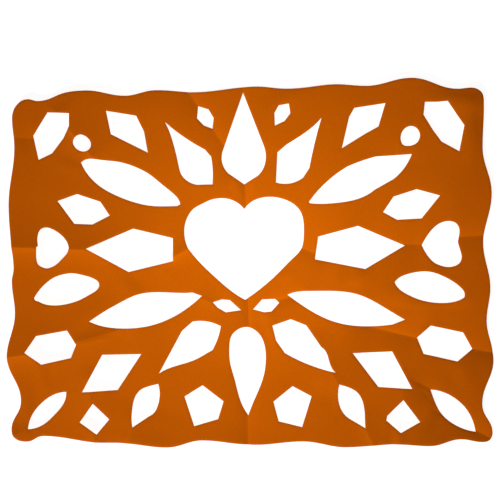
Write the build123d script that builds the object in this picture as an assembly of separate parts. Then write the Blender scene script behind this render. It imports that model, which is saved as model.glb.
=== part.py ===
from build123d import *
import os

# Papel picado sheet: one piece of coloured paper, folded, cut and opened out again.
# It lies on its back in the XY plane with its top edge towards +Y, +Z up, millimetres.
# The origin is under the middle of its outline, level with the surface it lies on.

# ---- driving dimensions ----
sheet_width = 300.0  # over the waves of the side edges
sheet_height = 225.0  # over the waves of the top and bottom edges
paper_thickness = 0.2
crease_height = 1.0  # how far a main fold stands above or dips below the flat panels
crease_reach = 12.0  # how far from its line a main fold bends the paper
small_crease_height = 0.5
small_crease_reach = 8.0
crease_fade = 10.0  # length over which a fold dies out at each end
trim_margin = 12.0  # how far the folded blank reaches past the trimmed edge

# The outlines below are set out on a sheet of this size and stretch with the real one.
layout_width = 300.0
layout_height = 225.0

panel_top = crease_height + paper_thickness  # upper face of the flat panels
blank_width = sheet_width + 2 * trim_margin
blank_height = sheet_height + 2 * trim_margin
ridge_root = crease_height / 2  # how deep a ridge is rooted in the blank
valley_brim = 2 * crease_height  # a valley cuts through any ridge that it meets
blank_depth = panel_top + ridge_root

# ---- trimmed edge, clockwise, wave by wave ----
# A stroke starts level with its side of the sheet, on a crest or in a hollow of the wave,
# and ends level where the next one starts. The last stroke of a side rounds the corner.
edge_sides = [
    ((1, 0), [
        [(-135, 105.4)], [(-128.5, 104.1), (-114, 108.2)], [(-98.5, 109.9)], [(-73, 106)],
        [(-54.5, 109)], [(-27.5, 107.2)], [(7, 109.8)], [(30, 107.8)], [(56, 109.8)], [(76, 108.3)],
        [(102, 112.5)], [(131, 105.2)], [(138, 105.7), (144.2, 103.2)],
    ]),
    ((0, -1), [
        [(145.8, 92)], [(144.8, 69)], [(149.8, 42)], [(144.7, 10.5)], [(148.4, -15)], [(146, -35.5)],
        [(150, -58.5)], [(142.7, -86)], [(148.9, -104), (147.7, -107.8)],
    ]),
    ((-1, 0), [
        [(143, -109.4)], [(130, -107.6)], [(111, -111.6)], [(91, -110.3)], [(60, -112.3)],
        [(34, -108.7)], [(3, -111.1)], [(-28, -108.2)], [(-50, -112.5), (-74, -109.8)],
        [(-90, -109.6)], [(-128, -105.6)], [(-138.5, -109), (-145.7, -106.8)],
    ]),
    ((0, 1), [
        [(-148, -101.2)], [(-141.9, -83.5)], [(-150, -56)], [(-144.9, -28.5)], [(-146.7, -9)],
        [(-145.3, 0)], [(-148, 39)], [(-144.1, 75)], [(-145.3, 93), (-141.2, 103)],
    ]),
]

# ---- cuts whose sides are all straight, corner by corner ----
straight_cuts = {
    "corner_left": [(-122.6, 96.8), (-108.8, 95.9), (-108.9, 87.8), (-112.8, 80.3), (-120, 71.2),
                    (-128.7, 67.3), (-132, 82.4)],
    "corner_right": [(110.6, 97.7), (117.7, 97.5), (124.2, 97.9), (133.9, 82.9), (130.8, 67.3),
                     (120.3, 73.4), (115.4, 80.3), (109.7, 89.9)],
    "kite_left": [(-85.5, 96.9), (-66.6, 93.4), (-61.9, 83.5), (-59.6, 70.4), (-82.6, 82.3)],
    "kite_right": [(68, 95), (86.8, 97.5), (82.4, 83.4), (74.3, 79.1), (60.1, 70.6), (64.8, 89.7)],
    "bud_left": [(-28, 98.6), (-21.6, 96.4), (-18.4, 91), (-19.3, 84.5), (-24.6, 86.6), (-28.7, 91)],
    "bud_right": [(21.9, 97.7), (28.1, 98.6), (28.9, 92.6), (25.3, 88), (19.4, 85.4), (19.2, 93.2)],
    "small_hexagon_left": [(-116.8, 41.3), (-104.4, 45.4), (-89.8, 40.4), (-83.9, 31.7),
                           (-94.8, 26.3), (-106.2, 26.9)],
    "small_hexagon_right": [(105.1, 44.8), (119, 40.7), (107.9, 27), (93.1, 26.4), (84.7, 31.2),
                            (91.1, 40.5)],
    "diamond_left": [(-98.7, 11.2), (-69.2, 23.3), (-44.6, 17.1), (-44.6, 2.9), (-72.6, -3.5)],
    "diamond_right": [(69.4, 23), (97.7, 10.6), (73.4, -3.4), (42.9, 2.9), (45, 16.8)],
    "seed_left": [(-20.3, -22.8), (-14.8, -21.1), (-9.8, -21.6), (-3, -27.9), (-12.4, -29.1),
                  (-17.3, -26.2)],
    "seed_right": [(4.4, -27.5), (10.1, -21.4), (17.9, -21.2), (20.6, -23.6), (15.7, -28.9),
                   (11.2, -29.3)],
    "hexagon_left": [(-131.4, -42.9), (-111.9, -39.6), (-106, -48.4), (-109.6, -56.7),
                     (-128.5, -60.8), (-138.6, -53.2)],
    "hexagon_right": [(112.6, -38.4), (132, -42.7), (137.6, -52.9), (128.4, -60.3), (108.1, -55.6),
                      (104.4, -45.7)],
    "slant_left": [(-89.8, -54.8), (-65.3, -54.5), (-80.5, -76.8), (-102.8, -78.1)],
    "slant_right": [(65.1, -54.8), (89.1, -54), (100.8, -76.8), (80.4, -75.5)],
    "square_left": [(-96.1, -85.3), (-86, -95.1), (-94.1, -104.4), (-104.8, -97.1)],
    "square_right": [(95.3, -83.5), (105.2, -96.9), (93.5, -103.4), (84.9, -95.9), (85.4, -93.1)],
    "pentagon_left": [(-27.4, -74.1), (-14.6, -84.1), (-18.1, -95.1), (-33, -99.4), (-38.8, -81)],
    "pentagon_right": [(28.1, -74.8), (39.6, -81), (33.6, -99.9), (19.3, -96.4), (16.2, -84.3)],
}

# ---- cuts with curved sides, stroke by stroke ----
# A stroke runs smoothly through its points and ends where the next one starts;
# a stroke of one point is a straight snip.
curved_cuts = {
    "long_leaf_upper_left": [
        [(-101.7, 65), (-99.4, 66.6), (-90, 66.5), (-78, 65), (-67.5, 61.6), (-58.5, 56.7),
         (-50, 49.6), (-44.3, 44.9), (-40.3, 39.9)],
        [(-39.8, 38)],
        [(-41.7, 37), (-50, 36.9), (-58.5, 37.4), (-71.5, 40.7), (-83.4, 45.9), (-90, 50), (-99.2, 60)],
    ],
    "long_leaf_upper_right": [
        [(102.4, 66.2)],
        [(80.8, 65.2), (74, 63.3)],
        [(63.2, 59.3), (50.1, 49.8)],
        [(39.6, 38.2)],
        [(40.1, 37.3), (46, 36.8), (55, 37.1), (71, 40)],
        [(80, 45.1)],
        [(91, 51.1), (97.3, 57.2)],
    ],
    "tulip_upper_left": [
        [(-48.6, 89), (-37, 79.6)],
        [(-24.1, 71.6)],
        [(-20.3, 67.1), (-19.4, 59)],
        [(-19.6, 50)],
        [(-29, 49.9), (-35.1, 52.3), (-39.1, 56.8), (-40.5, 62), (-43.7, 76)],
    ],
    "tulip_upper_right": [
        [(47.9, 89.5), (40.9, 82.8), (37.1, 80.1)],
        [(26.6, 73.7)],
        [(20.7, 68.9)],
        [(19.6, 50.4), (24.8, 49.4), (30, 50)],
        [(36.2, 53)],
        [(40.1, 58.8), (44.4, 77.4)],
    ],
    "teardrop_top": [
        [(0, 106.2)],
        [(12.6, 72.6), (13.3, 63.5), (11.4, 58.2)],
        [(8.4, 54.7)],
        [(0, 49.7)],
        [(-10, 56.8), (-13.5, 63.4)],
        [(-13.3, 70)],
    ],
    "heart_middle": [
        [(-0.2, 34.4), (5, 39.2), (12.5, 41.5), (19.5, 41.3), (25.5, 39.6), (31, 36.4), (34.6, 31.9),
         (36.2, 25.5), (36.2, 17.5), (34.6, 9.5), (30.3, 4.5)],
        [(25.6, 0.1), (15.1, -10)],
        [(-0.4, -21.6), (-9.4, -15.6), (-19.8, -6.4), (-26.6, 0.2)],
        [(-35, 10.5), (-37.3, 18), (-37.1, 25), (-34.9, 31), (-31.4, 35.2), (-25.9, 38.2),
         (-20.9, 40.4), (-15.9, 41.3), (-10.1, 40.9), (-5.9, 39.3)],
    ],
    "side_heart_left": [
        [(-129, 13.5), (-129.5, 17), (-129.2, 20.4), (-127.8, 23.4), (-125, 24.8), (-119.8, 23.6),
         (-114.8, 20.4), (-110.6, 15.4)],
        [(-109.5, 12), (-110.2, 9.6), (-114, 5.3), (-117.6, 2), (-121.6, -0.1), (-124.3, -0.6),
         (-127.2, 0.2), (-129.6, 2), (-130.5, 5.4), (-130.4, 9)],
        [(-130, 12.7)],
    ],
    "side_heart_right": [
        [(129.6, 12.6), (130.4, 16.5), (130.3, 20.7), (128.3, 23.8), (124.4, 25.1), (119.7, 24.3),
         (115, 21.1), (112.2, 17.9)],
        [(107.9, 10.8), (109.7, 6.8), (112.2, 2.9), (115.1, 0), (119.7, -2.1), (123.3, -2.8),
         (127.6, -2.1), (130.8, 0.2), (131.6, 3.6), (131.1, 6.6)],
    ],
    "side_leaf_left": [
        [(-132.6, -19.2), (-129.8, -15), (-124.8, -9.9), (-119.4, -6.3), (-113.7, -4.5), (-108, -3.9),
         (-101.6, -5.1), (-94.6, -7.4), (-91.8, -9.6)],
        [(-91.2, -11.8), (-92.6, -14.3), (-96.6, -16.9), (-103, -20.3), (-110.1, -22.7),
         (-118.7, -23.9), (-124.6, -23.4)],
        [(-130, -21.2), (-132, -20.4)],
    ],
    "side_leaf_right": [
        [(91, -11.7), (92.9, -9.6), (99.7, -6.6), (106.1, -5.4), (112.6, -5.6), (119.7, -8),
         (125.4, -11.1), (130.4, -15), (132.9, -18.6)],
        [(132.7, -21.4), (129.7, -23), (119.7, -24.6), (111.9, -23.9), (104.7, -22), (100, -19.9),
         (94, -16.1)],
    ],
    "long_leaf_lower_left": [
        [(-97.7, -34.1), (-90.9, -29.6), (-75, -20.9), (-69.8, -18.5), (-64.4, -17), (-53, -16.3)],
        [(-33, -16.7)],
        [(-27, -18.8), (-36.6, -26.6), (-49.4, -33.7), (-60.1, -37.1), (-75.1, -38.5), (-90.1, -36.9)],
    ],
    "long_leaf_lower_right": [
        [(25.6, -18.7), (30.1, -17.2), (41, -16.5), (58, -16.9), (68.7, -18.9), (82, -25.4)],
        [(97, -34.6)],
        [(89.4, -37.6), (79.7, -38.5), (63.7, -37.7), (50.9, -34.3), (38, -27.5)],
    ],
    "tulip_lower_left": [
        [(-33, -34.6), (-26.6, -34.3)],
        [(-15.6, -37.6), (-17.3, -44.3)],
        [(-20.9, -52.3)],
        [(-29.4, -57.1), (-36.6, -60), (-43.7, -62)],
        [(-54.4, -66.6), (-50.5, -59.6)],
        [(-39.8, -40.4)],
    ],
    "tulip_lower_right": [
        [(16.2, -37.5)],
        [(27.6, -33.7)],
        [(36.9, -37.5)],
        [(45.9, -50.8), (49.1, -54.5), (50.7, -59.6)],
        [(54.5, -66.5), (38.7, -61.8)],
        [(23.7, -54.5)],
        [(18.4, -46.8)],
    ],
    "teardrop_bottom": [
        [(0.6, -93.1), (5.5, -81), (10, -69.9), (11.9, -57), (10.9, -48.4), (8.7, -43.6), (5.1, -40.1),
         (0.1, -38.4), (-5.9, -40.3), (-9.1, -43.6), (-10.5, -50), (-10.1, -61), (-7.6, -70.5),
         (-4.8, -82)],
    ],
    "corner_leaf_left": [
        [(-113, -77.9), (-114.8, -85.1), (-120.5, -92), (-127.5, -98.1)],
        [(-137.7, -101.3), (-133.6, -90.1), (-128.4, -84.5), (-122.3, -80.3)],
    ],
    "corner_leaf_right": [
        [(112, -77.4), (120.1, -79.1), (126.5, -82.6), (131.9, -87.5), (135.8, -93.5)],
        [(138.9, -103.2), (131.9, -101.5), (125.1, -98.1), (118.8, -92.6), (114.7, -85.3)],
    ],
    "bottom_leaf_left": [
        [(-55, -73.1), (-54.2, -79.9), (-55.3, -86), (-57, -89.9)],
        [(-60.9, -93.1)],
        [(-71.3, -99.8), (-71.9, -94.6), (-71.4, -88), (-69.3, -80.5), (-66.2, -76.9), (-60.1, -74.3)],
    ],
    "bottom_leaf_right": [
        [(56.6, -73.7), (63, -75.9), (67.1, -78.4), (70.1, -82.8), (71.6, -88.9)],
        [(72.1, -100.4)],
        [(63, -95.1), (58.4, -90.6), (56.2, -84.9)],
    ],
}

# ---- round cuts, each one smooth closed line ----
round_cuts = {
    "round_hole_left": [(-101.4, 82.4), (-96.8, 79.8), (-95.1, 76.4), (-96.6, 72.9), (-100.2, 71.9),
                        (-104.6, 73.9), (-106.6, 77.8), (-105, 81)],
    "round_hole_right": [(102.2, 83.2), (105.8, 81.5), (107.4, 77.5), (105.8, 73.3), (100.5, 71.2),
                         (97.2, 72), (95.8, 75.3), (97, 80.3)],
}

# ---- creases, each a straight run that starts and ends in a cut or off the sheet ----
# The sheet was folded in half down its middle first, so a fold that stands up in its left
# half (a ridge) dips in its right half (a valley).
ridges = [
    ((-165, 14.2), (-85, 10.7)),
    ((-54, -3.5), (-24, 16)),
    ((-172, -58.6), (-124, -51.6)),
    ((-122, -50.7), (-60, -34)),
    ((-37, -15.2), (-9, -27)),
    ((-90, -75), (-124, -83)),
    ((-132, -97), (-160, -111.5)),
    ((47.5, -50), (60, -82)),
    ((68, -90), (82, -121)),
]
valleys = [
    ((0, 130), (0.5, -130)),
    ((22, 14), (56, -1)),
    ((85, 10.9), (120, 9.4)),
    ((119, 13.2), (168, 17.6)),
    ((8, -27.6), (37, -15.6)),
    ((64, -36), (114, -47.5)),
    ((122, -50.8), (172, -59)),
    ((90, -66.5), (122, -82)),
    ((128, -96.8), (162, -114)),
    ((-47, -54), (-62, -79.5)),
    ((-68, -90), (-79, -121)),
    ((-40, 121), (-6, 61)),
]
small_ridges = [((97.2, -66), (91.3, -124)), ((-116, 92), (-86, 58))]
small_valleys = [((-98.2, -66), (-94.4, -124)), ((97.6, 84), (89.5, 56))]


def place(point):
    """A point of the layout, stretched to the sheet's own size."""
    x, y = point
    return Vector(x * sheet_width / layout_width, y * sheet_height / layout_height)


def straight_outline(corners):
    return Wire.make_polygon([place(corner) for corner in corners], close=True)


def curved_outline(strokes):
    edges = []
    next_strokes = strokes[1:] + strokes[:1]
    for stroke, next_stroke in zip(strokes, next_strokes):
        points = [place(point) for point in [*stroke, next_stroke[0]]]
        edges.append(Line(*points) if len(points) == 2 else Spline(*points))
    return Wire(edges)


def round_outline(points):
    return Wire([Spline(*[place(point) for point in points], periodic=True)])


def trimmed_edge():
    strokes = [(heading, stroke) for heading, side in edge_sides for stroke in side]
    next_strokes = strokes[1:] + strokes[:1]
    edges = []
    for (heading, stroke), (next_heading, next_stroke) in zip(strokes, next_strokes):
        points = [place(point) for point in [*stroke, next_stroke[0]]]
        edges.append(Spline(*points, tangents=[heading, next_heading]))
    return Wire(edges)


def cut_sheet():
    """The trimmed sheet with every cut, as a flat face."""
    cuts = [straight_outline(corners) for corners in straight_cuts.values()]
    cuts += [curved_outline(strokes) for strokes in curved_cuts.values()]
    cuts += [round_outline(points) for points in round_cuts.values()]
    return Face(trimmed_edge(), cuts)


def crease_prism(ends, line_height, open_height, reach):
    """A tent over a crease, or a trough under it, that fades out towards both ends.

    line_height is the level of the crease itself, panel_top that of the paper at its reach.
    The sides carry on at the same slope to open_height, so that the tent or trough always
    crosses the face of the blank and never just touches it.
    """
    start, end = (place(point) for point in ends)
    along = (end - start).normalized()
    across = Vector(-along.Y, along.X)
    length = (end - start).length
    spread = (line_height - open_height) / (line_height - panel_top)
    mouth = reach * spread
    overshoot = crease_fade * (spread - 1)
    cross_section = Plane(start - along * overshoot, x_dir=across, z_dir=along) * Polyline(
        (-mouth, open_height), (0, line_height), (mouth, open_height), close=True
    )
    long_section = Plane(start - across * mouth, x_dir=along, z_dir=-across) * Polyline(
        (-overshoot, open_height),
        (crease_fade, line_height),
        (length - crease_fade, line_height),
        (length + overshoot, open_height),
        close=True,
    )
    tent = extrude(make_face(cross_section), length + 2 * overshoot, along)
    return tent & extrude(make_face(long_section), 2 * mouth, across)


def ridge(ends, height, reach):
    return crease_prism(ends, panel_top + height, panel_top - ridge_root, reach)


def valley(ends, depth, reach):
    return crease_prism(ends, panel_top - depth, panel_top + valley_brim, reach)


def folded_blank():
    """A thick block whose upper face has the folds of the opened sheet."""
    block = Pos(0, 0, panel_top) * Box(
        blank_width, blank_height, blank_depth, align=(Align.CENTER, Align.CENTER, Align.MAX)
    )
    block += [ridge(ends, crease_height, crease_reach) for ends in ridges]
    block += [ridge(ends, small_crease_height, small_crease_reach) for ends in small_ridges]
    block -= [valley(ends, crease_height, crease_reach) for ends in valleys]
    block -= [valley(ends, small_crease_height, small_crease_reach) for ends in small_valleys]
    return block


def paper_sheet():
    """The top layer of the folded blank, one paper thick, within the cut outline."""
    blank = folded_blank()
    layer = blank - Pos(0, 0, -paper_thickness) * blank
    knife_depth = panel_top + 2 * crease_height
    return (layer & extrude(cut_sheet(), knife_depth, Vector(0, 0, 1))).solid()


os.makedirs("parts", exist_ok=True)
sheet = paper_sheet()
export_step(sheet, "parts/paper_sheet.step")
box = sheet.bounding_box()
print("size", box.size, "lowest", box.min.Z, "volume", sheet.volume)
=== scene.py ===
import math

import bpy
import numpy as np
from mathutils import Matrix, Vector
from mathutils.geometry import delaunay_2d_cdt


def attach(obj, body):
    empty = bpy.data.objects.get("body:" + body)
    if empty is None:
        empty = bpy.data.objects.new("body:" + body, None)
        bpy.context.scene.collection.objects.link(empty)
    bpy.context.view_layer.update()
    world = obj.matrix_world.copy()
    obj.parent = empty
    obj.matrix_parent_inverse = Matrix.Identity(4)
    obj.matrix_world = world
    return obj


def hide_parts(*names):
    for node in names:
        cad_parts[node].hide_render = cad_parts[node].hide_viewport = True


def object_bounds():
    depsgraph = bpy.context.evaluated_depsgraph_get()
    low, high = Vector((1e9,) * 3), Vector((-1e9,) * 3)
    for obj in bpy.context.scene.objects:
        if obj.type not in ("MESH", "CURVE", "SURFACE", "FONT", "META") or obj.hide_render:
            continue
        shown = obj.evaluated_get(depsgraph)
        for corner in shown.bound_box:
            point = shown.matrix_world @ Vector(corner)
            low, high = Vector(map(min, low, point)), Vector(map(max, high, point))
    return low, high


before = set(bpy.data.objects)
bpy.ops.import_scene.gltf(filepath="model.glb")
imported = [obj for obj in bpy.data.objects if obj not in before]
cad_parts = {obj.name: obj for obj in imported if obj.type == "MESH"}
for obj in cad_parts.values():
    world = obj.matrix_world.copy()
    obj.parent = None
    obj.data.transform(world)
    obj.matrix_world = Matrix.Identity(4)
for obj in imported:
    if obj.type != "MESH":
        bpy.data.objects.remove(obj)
cadLow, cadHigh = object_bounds()
print("frame loaded")

mm = 0.001

# The folds, in millimetres: start, end, height at the line (a valley is negative), reach to the
# left of it and to the right, and the length over which it dies out at each end.
folds = [
    ((-165.2, 13.7), (-53.5, 8.2), 2.40, 19.5, 9.0, 20),
    ((-59.3, -2.3), (-18.5, 19.0), 1.85, 8.8, 4.2, 20),
    ((-172.1, -59.1), (-109.7, -50.4), 2.24, 22.0, 8.1, 26),
    ((-129.9, -53.3), (-49.4, -31.6), 1.52, 9.3, 22.0, 24),
    ((-37.6, -16.6), (-11.6, -26.7), 0.85, 4.8, 10.0, 14),
    ((-83.2, -73.3), (-125.8, -82.7), 0.32, 7.3, 19.6, 10),
    ((-135.0, -99.6), (-159.9, -111.8), 1.37, 9.8, 9.9, 16),
    ((40.1, -38.9), (63.3, -90.9), 0.92, 8.5, 8.3, 12),
    ((63.8, -84.9), (82.2, -121.1), 0.68, 9.4, 3.7, 13),
    ((0.2, 130.0), (0.5, 54.6), -0.74, 14.5, 8.6, 11),
    ((0.3, 76.1), (1.9, -62.5), -1.43, 5.2, 4.7, 9),
    ((0.1, -51.0), (0.3, -130.0), -1.75, 9.6, 8.3, 15),
    ((12.6, 19.7), (59.8, -1.1), -1.82, 12.9, 11.7, 14),
    ((55.4, 13.4), (127.7, 10.2), -2.40, 22.0, 18.3, 26),
    ((109.5, 14.3), (167.8, 17.4), -1.73, 7.3, 20.7, 14),
    ((8.0, -25.2), (38.6, -17.4), -1.32, 2.7, 4.8, 10),
    ((57.6, -34.2), (122.6, -50.7), -2.29, 8.4, 22.0, 23),
    ((104.9, -46.6), (171.8, -59.3), -2.40, 14.7, 13.3, 15),
    ((93.8, -67.3), (127.4, -84.6), -1.28, 14.4, 8.1, 17),
    ((110.5, -87.6), (161.8, -114.3), -2.03, 9.8, 13.4, 10),
    ((-65.5, -83.1), (-79.7, -123.9), 1.58, 22.0, 7.1, 19),
    ((-47.4, 128.1), (0.3, 54.2), -1.21, 7.3, 9.6, 10),
    ((96.6, -62.3), (91.2, -124.8), 0.72, 13.8, 9.7, 14),
    ((-122.3, 102.6), (-87.0, 59.0), 0.91, 22.0, 3.3, 12),
    ((-99.4, -58.9), (-94.5, -124.7), 0.79, 10.9, 6.1, 14),
    ((94.4, 75.3), (89.0, 53.2), -0.81, 8.1, 9.3, 14),
    ((-109.5, -49.1), (-79.4, -42.6), 0.39, 3.0, 5.1, 12),
    ((-162.0, 83.0), (-121.2, 79.9), -0.65, 9.4, 9.4, 11),
    ((101.9, -74.3), (122.9, -92.3), -0.36, 6.0, 5.2, 11),
]

# Small pressed places: middle, heading in degrees, half length, half width, and slope.
# A positive slope rises to the left of the heading.
dents = [
    ((-71.9, -9.4), -50, 11.5, 6.6, -0.082),
    ((65.8, -5.2), 47, 6.9, 8.0, -0.150),
    ((25.3, -3.8), 21, 4.9, 4.5, -0.112),
    ((103.6, -23.4), 9, 6.4, 2.9, -0.092),
    ((110.7, -33.0), 18, 18.0, 8.0, 0.125),
    ((-125.2, -66.4), -80, 10.7, 4.2, -0.063),
    ((128.6, -68.9), 120, 10.5, 6.7, -0.057),
    ((49.1, -76.3), 15, 7.7, 8.0, 0.067),
    ((25.1, 105.8), 47, 12.3, 8.0, -0.159),
    ((-107.9, 65.3), -23, 9.5, 5.0, -0.053),
    ((100.2, 71.0), 78, 5.7, 4.0, -0.057),
    ((89.7, -108.1), 99, 7.0, 3.9, -0.111),
    ((-132.7, 81.8), 91, 7.2, 5.2, -0.089),
    ((-101.0, -26.2), 44, 12.3, 8.0, -0.105),
    ((141.7, 82.8), 87, 17.5, 8.0, 0.160),
    ((16.3, -37.9), 40, 5.5, 4.4, -0.058),
    ((13.7, -41.7), -74, 14.2, 5.5, 0.133),
    ((132.9, 101.9), -8, 18.0, 8.0, -0.142),
    ((92.9, -24.6), 12, 11.4, 8.0, 0.156),
    ((123.2, -25.8), 5, 12.2, 4.4, 0.104),
    ((69.3, -11.4), 42, 9.4, 3.8, 0.106),
    ((-135.9, -86.4), 104, 13.7, 7.9, 0.087),
    ((116.9, -96.0), -32, 14.2, 6.6, 0.024),
    ((-49.1, -1.1), -14, 6.3, 4.9, -0.078),
    ((53.4, -59.6), 60, 11.1, 5.2, 0.048),
    ((86.8, -102.8), 95, 6.9, 3.0, 0.053),
    ((72.0, -103.8), 78, 7.9, 3.4, 0.043),
    ((50.2, -69.9), 59, 6.9, 4.0, 0.038),
    ((-36.3, 103.9), 68, 9.1, 2.9, 0.046),
    ((-143.7, -103.0), 60, 8.0, 5.9, -0.019),
    ((-0.3, -106.2), -4, 18.0, 8.0, -0.015),
    ((-62.5, -106.4), -9, 18.0, 8.0, -0.080),
    ((95.7, -43.6), -15, 9.1, 1.9, 0.043),
    ((4.6, 45.2), -88, 10.3, 3.3, 0.052),
    ((-5.6, 44.7), -73, 10.1, 3.4, 0.072),
    ((105.2, -79.2), -46, 6.9, 2.4, 0.024),
    ((-108.0, -83.7), 39, 7.9, 5.1, -0.021),
]

# What a maker would change on the sheet, in millimetres.
sheet = {
    "thickness": 0.2,
    "step": 1.5,  # between points inside the panels
    "rowHeight": 0.87,  # from one row of points to the next, in steps
    "edgeClear": 1.0,  # no inner point nearer to a cut than this
    "edgeRow": 0.45,  # a row of points just inside every cut
    "edgeRowClear": 0.5,  # no other point nearer to that row than this
    "edgeDroop": 0.12,  # how far the scissors pressed the cut edge down
    "foldStep": 1.1,  # between points along a fold
    "foldRow": 0.3,  # rows of points beside each fold
    "foldRowClear": 0.9,  # no other point nearer to those rows than this
    "foldRound": 0.15,  # how round the paper is on top of a fold
    "foldAngle": 50,  # degrees; an edge sharper than this is shaded sharp
    "wearWidth": 0.7,  # how wide the paler line along a fold is
    "wave": 0.15,  # slow unevenness of the whole sheet
    "rest": 0.03,  # height of the lowest point
}

upright = 0.97  # least upward part of a normal on the upper face
weldMetres = 1e-6
weldMillimetres = 1e-4
blockSize = 400  # how many points are compared with all the others at a time


# Welds the node's loose triangles and finds its upper rims: the edges that only one of the
# faces pointing up has.
def upperRims(node):
    mesh = node.data
    mesh.calc_loop_triangles()
    corners = np.empty(len(mesh.loop_triangles) * 3, np.int32)
    mesh.loop_triangles.foreach_get("vertices", corners)
    places = np.empty(len(mesh.vertices) * 3)
    mesh.vertices.foreach_get("co", places)
    places = places.reshape(-1, 3)
    keys = np.round(places / weldMetres).astype(np.int64)
    found, first, welded = np.unique(keys, axis=0, return_index=True, return_inverse=True)
    triangles = welded.reshape(-1)[corners].reshape(-1, 3)
    points = places[first]
    a, b, c = points[triangles].transpose(1, 0, 2)
    normals = np.cross(b - a, c - a)
    upward = normals[:, 2] / np.maximum(np.linalg.norm(normals, axis=1), 1e-15)
    sides = np.sort(triangles[:, [[0, 1], [1, 2], [2, 0]]], axis=2)
    codes = sides[..., 0] * len(points) + sides[..., 1]
    kept, uses = np.unique(codes[upward > upright], return_counts=True)
    rims = kept[uses == 1]
    return points[:, :2] / mm, np.stack([rims // len(points), rims % len(points)], axis=1)


# Cuts every rim edge into equal lengths no longer than the step: length k of an edge runs from
# start + (end - start) * k / pieces to start + (end - start) * (k + 1) / pieces.
def divided(points, edges, step):
    start, run = points[edges[:, 0]], points[edges[:, 1]] - points[edges[:, 0]]
    pieces = np.ceil(np.linalg.norm(run, axis=1) / step).astype(int)
    owner = np.repeat(np.arange(len(edges)), pieces)
    place = np.arange(len(owner)) - np.repeat(np.cumsum(pieces) - pieces, pieces)
    shares = np.stack([place, place + 1]) / pieces[owner]
    cuts = (start[owner] + run[owner] * shares[..., None]).reshape(-1, 2)
    keys = np.round(cuts / weldMillimetres).astype(np.int64)
    found, first, welded = np.unique(keys, axis=0, return_index=True, return_inverse=True)
    return cuts[first], welded.reshape(2, -1).T


# Distance from each point to the nearest of the others, worked out a block at a time.
def nearest(points, others):
    out = [
        np.sqrt(((block[:, None] - others[None]) ** 2).sum(axis=2).min(axis=1))
        for block in np.array_split(points, max(1, len(points) // blockSize))
    ]
    return np.concatenate(out)


# Whether each point lies on paper: a line from it towards +X crosses the rims an odd number of
# times.
def onPaper(points, rimPoints, rimEdges):
    ax, ay = rimPoints[rimEdges[:, 0]].T
    bx, by = rimPoints[rimEdges[:, 1]].T
    out = []
    for block in np.array_split(points, max(1, len(points) // blockSize)):
        px, py = block[:, :1], block[:, 1:]
        spans = (ay > py) != (by > py)
        crossing = ax + (py - ay) * (bx - ax) / np.where(by == ay, 1, by - ay)
        out.append((spans & (crossing > px)).sum(axis=1) % 2 == 1)
    return np.concatenate(out)


# Rows of points along each fold, so that the mesh has an edge on the fold line: the line itself
# and the line moved sideways by the gap, both ways.
def foldRows(gap, step):
    rows = []
    for start, end, *shape in folds:
        length = math.hypot(end[0] - start[0], end[1] - start[1])
        share = np.linspace(0, 1, int(length / step))[:, None]
        line = np.array(start) + (np.array(end) - np.array(start)) * share
        side = np.array([start[1] - end[1], end[0] - start[0]]) / length
        rows += [line + side * offset for offset in (-gap, 0, gap)]
    return np.concatenate(rows)


# A row of points beside the cuts: each rim edge's middle, moved inwards by the gap.
def edgeRows(rimPoints, rimEdges, gap):
    start, end = rimPoints[rimEdges[:, 0]], rimPoints[rimEdges[:, 1]]
    along, middle = end - start, (start + end) / 2
    side = np.stack([-along[:, 1], along[:, 0]], axis=1)
    side = side / np.linalg.norm(along, axis=1)[:, None] * gap
    rows = np.concatenate([middle + side, middle - side])
    rows = rows[onPaper(rows, rimPoints, rimEdges)]
    return rows[nearest(rows, rimPoints) > gap * 0.9]


# Where the points lie on a straight fold: how far across it (left is positive), how far past
# its nearer end, and a share that rises from 0 at either end to 1 where the fade is over.
def onFold(x, y, start, end, fade):
    length = math.hypot(end[0] - start[0], end[1] - start[1])
    ux, uy = (end[0] - start[0]) / length, (end[1] - start[1]) / length
    along = (x - start[0]) * ux + (y - start[1]) * uy
    across = (y - start[1]) * ux - (x - start[0]) * uy
    past = np.maximum(np.maximum(-along, along - length), 0)
    ends = np.clip(np.minimum(along, length - along) / fade, 0, 1)
    return across, past, ends


# Slow unevenness: sine waves that cross at different slants, 5 to 20 cm long, added together.
def slowWave(x, y):
    slow = np.sin(x / 31 + 0.7) * np.sin(y / 27 - 0.4) + 0.6 * np.sin(x / 17 - y / 23 + 1.9)
    return slow + 0.5 * np.sin(x / 9.5 + y / 13 + 0.3) * np.sin(y / 8.7 - x / 19)


# Height of the sheet: for each fold height * e^(-distance / reach), rounded over the line and
# faded smoothly at its ends, plus for each pressed place
# slope * across * e^-((along / length)^2 + (across / width)^2), plus the slow unevenness.
def sheetHeight(x, y):
    z = np.zeros_like(x)
    soft = sheet["foldRound"]
    for start, end, height, reachLeft, reachRight, fade in folds:
        across, past, ends = onFold(x, y, start, end, fade)
        distance = np.sqrt(across**2 + past**2 + soft**2) - soft
        reach = np.where(across > 0, reachLeft, reachRight)
        z += height * np.exp(-distance / reach) * ends * ends * (3 - 2 * ends)
    for (cx, cy), heading, halfLength, halfWidth, slope in dents:
        turn = math.radians(heading)
        along = (x - cx) * math.cos(turn) + (y - cy) * math.sin(turn)
        across = (y - cy) * math.cos(turn) - (x - cx) * math.sin(turn)
        z += slope * across * np.exp(-((along / halfLength) ** 2) - (across / halfWidth) ** 2)
    return z + sheet["wave"] * slowWave(x, y)


# How worn the paper is by its folds: the greatest of
# height * ends * e^-((across / width)^2), so a tall fold's own line is the palest.
def foldWear(x, y):
    wear = np.zeros_like(x)
    for start, end, height, reachLeft, reachRight, fade in folds:
        across, past, ends = onFold(x, y, start, end, fade)
        line = np.exp(-((across / sheet["wearWidth"]) ** 2))
        wear = np.maximum(wear, abs(height) * ends * line)
    return wear


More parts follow.
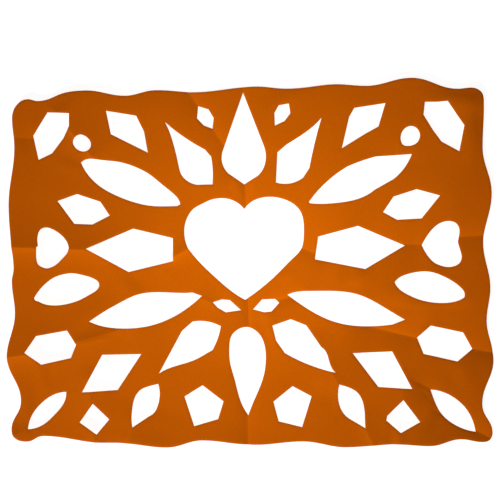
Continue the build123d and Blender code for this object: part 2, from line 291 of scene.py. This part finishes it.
# Even rows of points between the rims, every other row moved by half a step, with the rows of
# the folds and of the cut edges in place of the points nearest to them.
def innerPoints(rimPoints, rimEdges):
    step = sheet["step"]
    low, high = rimPoints.min(axis=0), rimPoints.max(axis=0)
    columns = np.arange(low[0], high[0], step)
    rows = np.arange(low[1], high[1], step * sheet["rowHeight"])
    gx, gy = np.meshgrid(columns, rows)
    gx = gx + (np.arange(len(rows)) % 2)[:, None] * step / 2
    inner = np.stack([gx.ravel(), gy.ravel()], axis=1)
    alongFolds = foldRows(sheet["foldRow"], sheet["foldStep"])
    inner = inner[nearest(inner, alongFolds) > sheet["foldRowClear"]]
    inner = np.concatenate([inner, alongFolds])
    inner = inner[((inner > low) & (inner < high)).all(axis=1)]
    inner = inner[onPaper(inner, rimPoints, rimEdges)]
    inner = inner[nearest(inner, rimPoints) > sheet["edgeClear"]]
    beside = edgeRows(rimPoints, rimEdges, sheet["edgeRow"])
    return np.concatenate([inner[nearest(inner, beside) > sheet["edgeRowClear"]], beside])


# The paper's triangles: all the points joined up with the rims kept as edges, without those
# that fill the holes, each one running anticlockwise seen from above.
def fillPaper(rimPoints, rimEdges, inner):
    flat = [Vector(point) for point in np.concatenate([rimPoints, inner])]
    made = delaunay_2d_cdt(flat, rimEdges.tolist(), [], 1, 1e-5)
    points, triangles = np.array([point[:] for point in made[0]]), np.array(made[2])
    triangles = triangles[onPaper(points[triangles].mean(axis=1), rimPoints, rimEdges)]
    used, triangles = np.unique(triangles, return_inverse=True)
    triangles = triangles.reshape(-1, 3)
    x, y = points[used].T
    a, b, c = triangles.T
    turned = (x[b] - x[a]) * (y[c] - y[a]) - (x[c] - x[a]) * (y[b] - y[a]) < 0
    triangles[turned] = triangles[turned][:, ::-1]
    return x, y, triangles


def newMesh(name, points, faces):
    mesh = bpy.data.meshes.new(name)
    mesh.vertices.add(len(points))
    mesh.vertices.foreach_set("co", np.ascontiguousarray(points, np.float32).ravel())
    mesh.loops.add(len(faces) * 3)
    mesh.loops.foreach_set("vertex_index", np.ascontiguousarray(faces, np.int32).ravel())
    mesh.polygons.add(len(faces))
    mesh.polygons.foreach_set("loop_start", np.arange(0, len(faces) * 3, 3, dtype=np.int32))
    mesh.update(calc_edges=True)
    mesh.validate()
    return mesh


# The cut sheet: the frame's own rims, filled with even points, lifted to sheetHeight and given
# the paper's thickness as a closed shell: under face, upper face and the cut walls between.
def makeSheet():
    rimPoints, rimEdges = divided(*upperRims(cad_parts["paper_sheet"]), sheet["step"])
    inner = innerPoints(rimPoints, rimEdges)
    print("sheet:", len(rimPoints), "rim points,", len(inner), "inner points")
    x, y, triangles = fillPaper(rimPoints, rimEdges, inner)
    count = len(x)
    sides = triangles[:, [[0, 1], [1, 2], [2, 0]]].reshape(-1, 2)
    codes, back = sides[:, 0] * count + sides[:, 1], sides[:, 1] * count + sides[:, 0]
    rim = sides[~np.isin(codes, back)]
    z = sheetHeight(x, y)
    z[np.unique(rim)] -= sheet["edgeDroop"]
    z += sheet["rest"] - z.min()
    start, end = rim.T
    walls = [
        np.stack([start, end, end + count], axis=1),
        np.stack([start, end + count, start + count], axis=1),
    ]
    under = np.stack([x, y, z], axis=1)
    over = np.stack([x, y, z + sheet["thickness"]], axis=1)
    faces = np.concatenate([triangles[:, ::-1], triangles + count, *walls])
    mesh = newMesh("papelPicado", np.concatenate([under, over]) * mm, faces)
    kind = np.zeros(len(faces), np.int32)  # 0 is the paper's face, 1 its cut edge
    kind[2 * len(triangles) :] = 1
    mesh.polygons.foreach_set("material_index", kind)
    mesh.polygons.foreach_set("use_smooth", np.ones(len(faces), bool))
    mesh.set_sharp_from_angle(angle=math.radians(sheet["foldAngle"]))
    wear = mesh.attributes.new("foldWear", "FLOAT", "POINT")
    wear.data.foreach_set("value", np.tile(foldWear(x, y), 2).astype(np.float32))
    piece = bpy.data.objects.new("papelPicado", mesh)
    bpy.context.scene.collection.objects.link(piece)
    print("sheet:", len(faces), "triangles, height", round(float(z.max()), 2), "mm")
    return piece


def newGroup(name, inputs, outputs):
    group = bpy.data.node_groups.new(name, "ShaderNodeTree")
    for label, kind, value in inputs:
        kind = "NodeSocket" + kind
        socket = group.interface.new_socket(label, in_out="INPUT", socket_type=kind)
        if value is not None:
            socket.default_value = value
    for label, kind in outputs:
        group.interface.new_socket(label, in_out="OUTPUT", socket_type="NodeSocket" + kind)
    return group, group.nodes.new("NodeGroupInput"), group.nodes.new("NodeGroupOutput")


# Adds a shader node; the values are its sockets' and the settings are its own.
def addNode(tree, kind, where, values=None, **settings):
    node = tree.nodes.new("ShaderNode" + kind)
    node.location = where
    for name, value in settings.items():
        setattr(node, name, value)
    for socket, value in (values or {}).items():
        node.inputs[socket].default_value = value
    return node


def joinAll(tree, *links):
    for source, sourceSocket, target, targetSocket in links:
        tree.links.new(source.outputs[sourceSocket], target.inputs[targetSocket])


def newMaterial(name, **values):
    material = bpy.data.materials.new(name)
    material.use_nodes = True
    shader = material.node_tree.nodes["Principled BSDF"]
    for socket, value in values.items():
        shader.inputs[socket].default_value = value
    return material, material.node_tree, shader


def mixColours(tree, where, **colours):
    sockets = {"first": 6, "second": 7}
    values = {sockets[name]: (*colour, 1) for name, colour in colours.items()}
    return addNode(tree, "Mix", where, values, data_type="RGBA")


# Spreads the values between low and high over the range up to the last one given.
def ramp(tree, where, low, high, most=1.0):
    return addNode(tree, "MapRange", where, {1: low, 2: high, 3: 0.0, 4: most})


grain = {
    "mottleDetail": 4.0,
    "mottleRoughness": 0.6,
    "fibreDetail": 2.0,
    "fibres": [(28, (1.0, 0.22, 1.0)), (-41, (0.25, 1.0, 1.0))],  # degrees turned and stretch
    "mottleRelief": 0.35,  # how much of the mottle joins the fibres' relief
}


# Paper seen close: cloudy mottle, crossing fibres and a height for their relief.
def makeGrainGroup():
    inputs = [
        ("Vector", "Vector", None),
        ("Mottle Scale", "Float", 260.0),
        ("Fibre Scale", "Float", 2600.0),
    ]
    outputs = [("Mottle", "Float"), ("Fibre", "Float"), ("Height", "Float")]
    group, inlet, outlet = newGroup("paperGrain", inputs, outputs)
    inlet.location, outlet.location = (-900, 0), (700, 0)
    cloudy = {"Detail": grain["mottleDetail"], "Roughness": grain["mottleRoughness"]}
    clouds = addNode(group, "TexNoise", (-600, 250), cloudy)
    both = addNode(group, "Math", (-100, -200), operation="MAXIMUM")
    relief = addNode(
        group, "Math", (150, -100), {1: grain["mottleRelief"]}, operation="MULTIPLY_ADD"
    )
    for index, (turn, stretch) in enumerate(grain["fibres"]):
        height = -50 - 350 * index
        lay = {"Rotation": (0, 0, math.radians(turn)), "Scale": stretch}
        laid = addNode(group, "Mapping", (-600, height), lay)
        fibre = addNode(group, "TexNoise", (-350, height), {"Detail": grain["fibreDetail"]})
        joinAll(
            group,
            (inlet, "Vector", laid, "Vector"),
            (inlet, "Fibre Scale", fibre, "Scale"),
            (laid, "Vector", fibre, "Vector"),
            (fibre, "Fac", both, index),
        )
    joinAll(
        group,
        (inlet, "Vector", clouds, "Vector"),
        (inlet, "Mottle Scale", clouds, "Scale"),
        (clouds, "Fac", relief, 0),
        (both, "Value", relief, 2),
        (clouds, "Fac", outlet, "Mottle"),
        (both, "Value", outlet, "Fibre"),
        (relief, "Value", outlet, "Height"),
    )
    return group


# Dark stray fibres and dust caught in the pulp: one small fleck in a few of the cells.
def makeFleckGroup():
    inputs = [
        ("Vector", "Vector", None),
        ("Scale", "Float", 70.0),
        ("Size", "Float", 0.03),
        ("Bare Share", "Float", 0.86),
    ]
    group, inlet, outlet = newGroup("paperFlecks", inputs, [("Fleck", "Float")])
    inlet.location, outlet.location = (-700, 0), (500, 0)
    cells = addNode(group, "TexVoronoi", (-450, 100))
    near = addNode(group, "Math", (-200, 150), operation="LESS_THAN")
    pick = addNode(group, "SeparateColor", (-200, -50))
    few = addNode(group, "Math", (0, -50), operation="GREATER_THAN")
    both = addNode(group, "Math", (250, 50), operation="MULTIPLY")
    joinAll(
        group,
        (inlet, "Vector", cells, "Vector"),
        (inlet, "Scale", cells, "Scale"),
        (inlet, "Size", near, 1),
        (inlet, "Bare Share", few, 1),
        (cells, "Distance", near, 0),
        (cells, "Color", pick, "Color"),
        (pick, "Red", few, 0),
        (near, "Value", both, 0),
        (few, "Value", both, 1),
        (both, "Value", outlet, "Fleck"),
    )
    return group


paper = {
    "colour": (0.512, 0.0955, 0.0004),
    "deep": (0.49, 0.0880, 0.0003),
    "worn": (0.60, 0.126, 0.0008),
    "roughness": 0.82,
    "specular": 0.005,
    "mottleScale": 850.0,  # clumps of pulp, about a millimetre across
    "mottleRange": (0.36, 0.64),
    "fibreScale": 2600.0,  # single fibres
    "fibreRange": (0.45, 0.75),
    "fibreAmount": 0.2,
    "wearAmount": 0.12,
    "fleckScale": 70.0,
    "fleckColour": (0.05, 0.02, 0.004),
    "reliefStrength": 0.35,
    "reliefHeight": 0.00006,
}


# Dyed craft paper: the colour drifts with the pulp's clouds, wears paler along the folds, and
# carries a few dark flecks; the relief is the fibres' own.
def makePaperMaterial(grainGroup, fleckGroup):
    gloss = {"Roughness": paper["roughness"], "Specular IOR Level": paper["specular"]}
    material, tree, shader = newMaterial("orangeCraftPaper", **gloss)
    place = addNode(tree, "TexCoord", (-1500, 0))
    scales = {"Mottle Scale": paper["mottleScale"], "Fibre Scale": paper["fibreScale"]}
    pulp = addNode(tree, "Group", (-1250, 100), node_tree=grainGroup)
    for socket, scale in scales.items():
        pulp.inputs[socket].default_value = scale
    flecks = addNode(tree, "Group", (-1250, -250), node_tree=fleckGroup)
    flecks.inputs["Scale"].default_value = paper["fleckScale"]
    wear = addNode(tree, "Attribute", (-1250, -500), attribute_name="foldWear")
    clouds = ramp(tree, (-1000, 250), *paper["mottleRange"])
    threads = ramp(tree, (-1000, 0), *paper["fibreRange"], paper["fibreAmount"])
    paler = addNode(
        tree, "Math", (-750, -400), {1: paper["wearAmount"]}, operation="MULTIPLY"
    )
    body = mixColours(tree, (-750, 250), first=paper["deep"], second=paper["colour"])
    threaded = mixColours(tree, (-500, 200), second=paper["worn"])
    worn = mixColours(tree, (-250, 150), second=paper["worn"])
    speckled = mixColours(tree, (0, 100), second=paper["fleckColour"])
    relief = {"Strength": paper["reliefStrength"], "Distance": paper["reliefHeight"]}
    bump = addNode(tree, "Bump", (0, -300), relief)
    joinAll(
        tree,
        (place, "Object", pulp, "Vector"),
        (place, "Object", flecks, "Vector"),
        (pulp, "Mottle", clouds, 0),
        (clouds, 0, body, 0),
        (pulp, "Fibre", threads, 0),
        (threads, 0, threaded, 0),
        (body, 2, threaded, 6),
        (wear, "Fac", paler, 0),
        (paler, 0, worn, 0),
        (threaded, 2, worn, 6),
        (flecks, "Fleck", speckled, 0),
        (worn, 2, speckled, 6),
        (speckled, 2, shader, "Base Color"),
        (pulp, "Height", bump, "Height"),
        (bump, "Normal", shader, "Normal"),
    )
    return material


cutEdge = {"roughness": 0.9, "specular": 0.02, "mottleScale": 900.0}


# The cut edge shows the pulp's core, paler and fuzzier than the faces.
def makeCutMaterial(grainGroup):
    gloss = {"Roughness": cutEdge["roughness"], "Specular IOR Level": cutEdge["specular"]}
    material, tree, shader = newMaterial("cutPaperEdge", **gloss)
    place = addNode(tree, "TexCoord", (-900, 0))
    pulp = addNode(tree, "Group", (-700, 0), node_tree=grainGroup)
    pulp.inputs["Mottle Scale"].default_value = cutEdge["mottleScale"]
    core = mixColours(tree, (-350, 100), first=paper["deep"], second=paper["worn"])
    joinAll(
        tree,
        (place, "Object", pulp, "Vector"),
        (pulp, "Fibre", core, 0),
        (core, 2, shader, "Base Color"),
    )
    return material


piece = makeSheet()
grainGroup = makeGrainGroup()
piece.data.materials.append(makePaperMaterial(grainGroup, makeFleckGroup()))
piece.data.materials.append(makeCutMaterial(grainGroup))
print("materials made")
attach(piece, "root")
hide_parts("paper_sheet")
print("sheet made")

table = {
    "size": 6.0,
    "colour": (0.25, 0.25, 0.25),
    "glow": 0.92,  # keeps the table bright in the shadow of the sheet
    "roughness": 0.9,
    "drop": 0.00002,  # below the lowest point of the CAD sheet
}


def makeTable():
    half, level = table["size"] / 2, cadLow.z - table["drop"]
    turns = [(-1, -1), (1, -1), (1, 1), (-1, 1)]
    mesh = bpy.data.meshes.new("table")
    mesh.from_pydata([(half * x, half * y, level) for x, y in turns], [], [(0, 1, 2, 3)])
    top = bpy.data.objects.new("table", mesh)
    bpy.context.scene.collection.objects.link(top)
    looks = {"Base Color": (*table["colour"], 1), "Roughness": table["roughness"]}
    glow = {"Emission Color": (1, 1, 1, 1), "Emission Strength": table["glow"]}
    mesh.materials.append(newMaterial("paleTable", **looks, **glow)[0])


# A soft light low over the middle, and a far one from the lower left that shows the folds.
lights = [
    {
        "name": "nearLight",
        "kind": "AREA",
        "place": (0.01, 0.012, 0.15),
        "aim": (0.01, 0.012, 0),
        "power": 0.112,
        "color": (1.0, 1.06, 0.92),
        "size": 0.07,
        "spread": math.radians(160),
    },
    {
        "name": "sideLight",
        "kind": "SPOT",
        "place": (-1.17, -2.11, 1.14),
        "aim": (-0.12, -0.145, 0.0),
        "power": 432.0,
        "shadow_soft_size": 0.1,
        "spot_size": math.radians(20.4),
        "spot_blend": 1.0,
    },
]


def addLight(name, kind, place, aim, power, **settings):
    data = bpy.data.lights.new(name, kind)
    data.energy = power
    for setting, value in settings.items():
        setattr(data, setting, value)
    light = bpy.data.objects.new(name, data)
    light.location = place
    light.rotation_euler = (Vector(aim) - Vector(place)).to_track_quat("-Z", "Y").to_euler()
    light.visible_camera = False
    bpy.context.scene.collection.objects.link(light)


sky = {"colour": (1.0, 1.0, 1.0), "strength": 0.05}


def makeSky():
    world = bpy.data.worlds.new("studio")
    world.use_nodes = True
    background = world.node_tree.nodes["Background"]
    background.inputs["Color"].default_value = (*sky["colour"], 1)
    background.inputs["Strength"].default_value = sky["strength"]
    bpy.context.scene.world = world


view = {"place": (0.02614, 0.00977, 0.42946), "turn": (-0.125, 3.094, -0.769), "lens": 50}


def makeCamera():
    data = bpy.data.cameras.new("camera")
    data.lens = view["lens"]
    data.clip_start = 0.01
    camera = bpy.data.objects.new("camera", data)
    camera.location = view["place"]
    camera.rotation_euler = [math.radians(turn) for turn in view["turn"]]
    bpy.context.scene.collection.objects.link(camera)
    bpy.context.scene.camera = camera


makeTable()
for light in lights:
    addLight(**light)
makeSky()
makeCamera()
bpy.context.scene.view_settings.view_transform = "Standard"
print("studio made")
